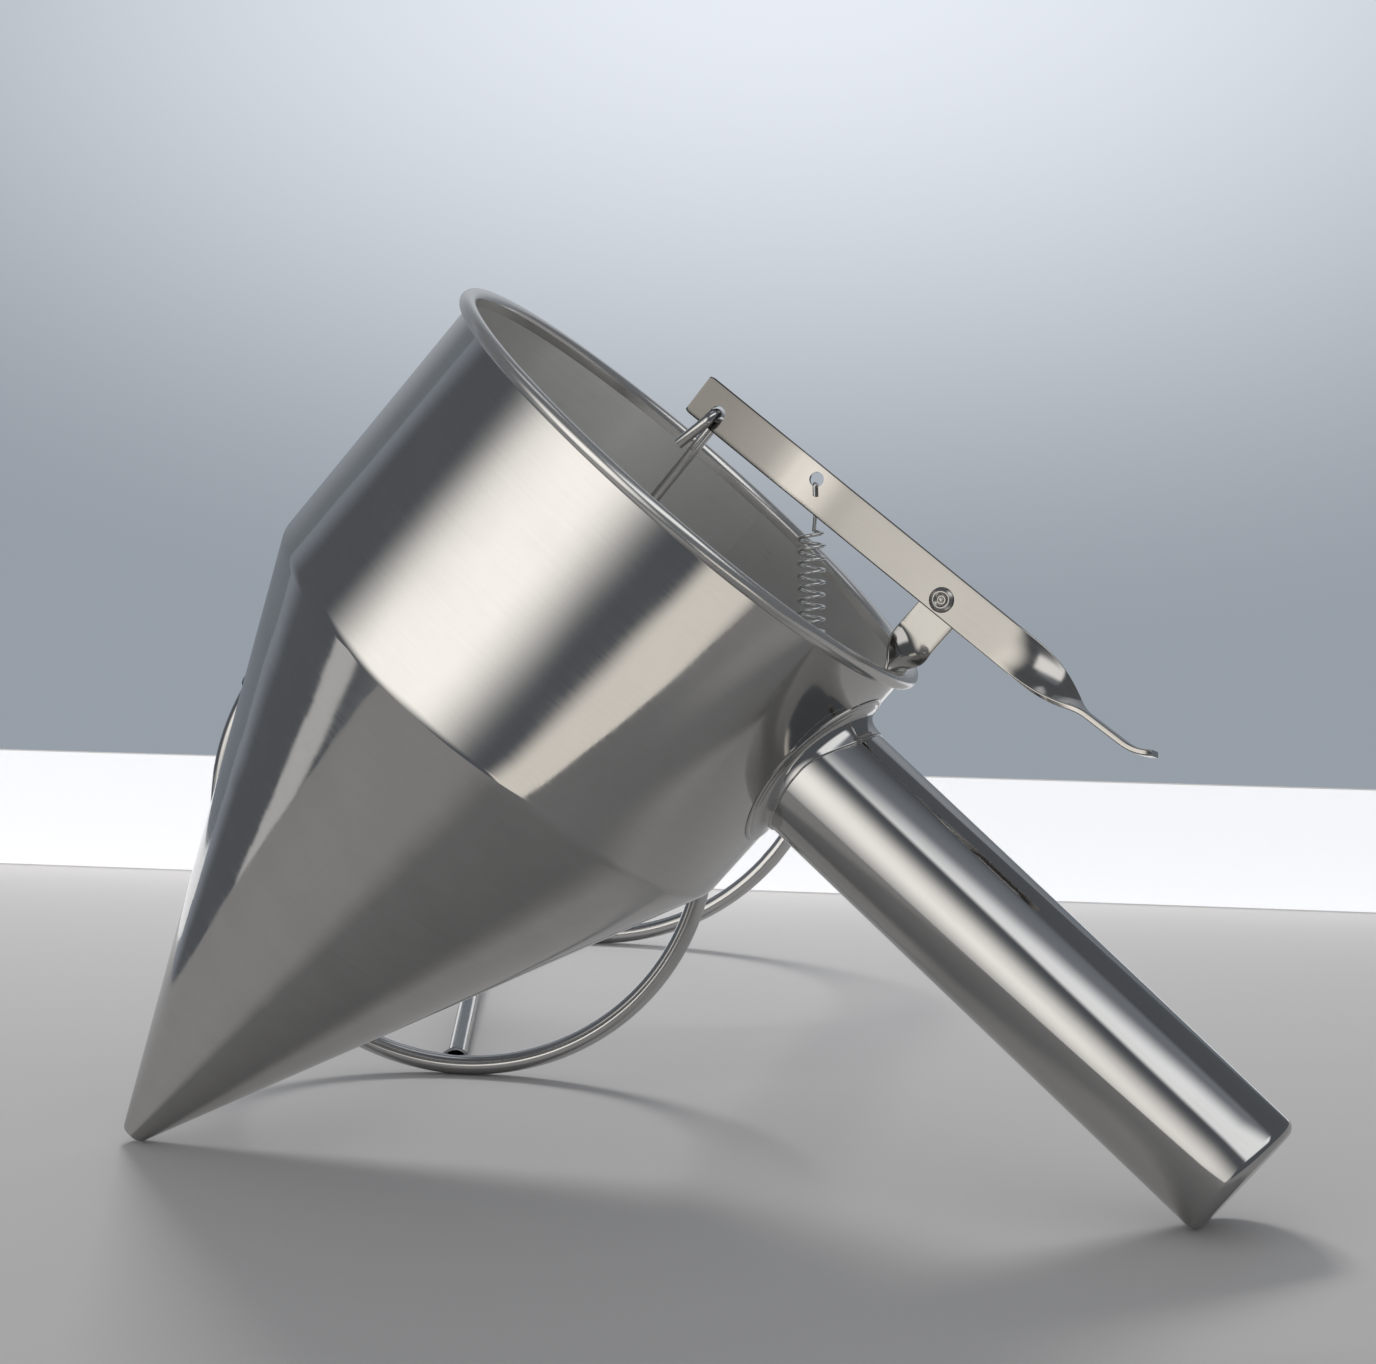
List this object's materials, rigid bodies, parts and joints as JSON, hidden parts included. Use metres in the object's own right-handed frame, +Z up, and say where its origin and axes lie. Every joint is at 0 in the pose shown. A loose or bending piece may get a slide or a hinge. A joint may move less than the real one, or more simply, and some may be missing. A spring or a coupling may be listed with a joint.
{
  "type": "dispensing funnel with lever valve and wire stand",
  "caption": "Steel batter funnel with a straight handle, a spring-loaded lever that lifts a stopper rod out of the nozzle, leaning on its overturned wire stand.",
  "frame": {"origin": "on the table under the middle of the whole set's bounding box", "axes": "+Z up; +Y from the funnel back to the stand lying behind it; the funnel's nozzle points towards -X and its handle towards +X"},
  "size_m": [0.2932, 0.3712, 0.2234],
  "materials": {
    "polished_steel": "mirror-polished stainless steel outside, lightly scratched satin inside",
    "satin_steel": "satin stainless strip with a soft sheen",
    "spring_steel": "bright spring wire",
    "wire_steel": "bright drawn wire, polished"
  },
  "bodies": {
    "stand": {"stand_upper_ring": "wire_steel", "stand_base_ring": "wire_steel", "stand_leg_1": "wire_steel", "stand_leg_2": "wire_steel", "stand_leg_3": "wire_steel", "stand_weld_tacks": "wire_steel"},
    "funnel": {"drum_shell": "polished_steel", "rolled_rim": "polished_steel", "cone_shell": "polished_steel", "handle_collar": "polished_steel", "handle_tube": "polished_steel", "handle_end_cap": "polished_steel", "pivot_bracket": "satin_steel", "bracket_rivets": "satin_steel", "pivot_rivet": "satin_steel", "spacer_washer": "polished_steel", "retaining_washer": "polished_steel", "return_spring": "spring_steel"},
    "lever": {"lever": "satin_steel"},
    "valve_rod": {"pull_rod": "wire_steel", "stopper": "polished_steel"}
  },
  "joints": [
    {"name": "funnel_lift", "type": "slide", "parent": "stand", "child": "funnel", "axis": [0, 0, 1], "range_m": [0, 0.25]},
    {"name": "lever_pivot", "type": "hinge", "parent": "funnel", "child": "lever", "pos_m": [0.06452, -0.12746, 0.14739], "axis": [0.2865, 0.9469, -0.1459], "range_deg": [0, 22], "stiffness_Nm_per_rad": 0.6, "springref_deg": -12, "deforming": ["return_spring"]},
    {"name": "rod_hinge", "type": "hinge", "parent": "lever", "child": "valve_rod", "pos_m": [0.00944, -0.10394, 0.19187], "axis": [0.2865, 0.9469, -0.1459], "range_deg": [-22, 0]}
  ],
  "couplings": [
    {"joint": "rod_hinge", "follows": "lever_pivot", "ratio": -0.957}
  ]
}
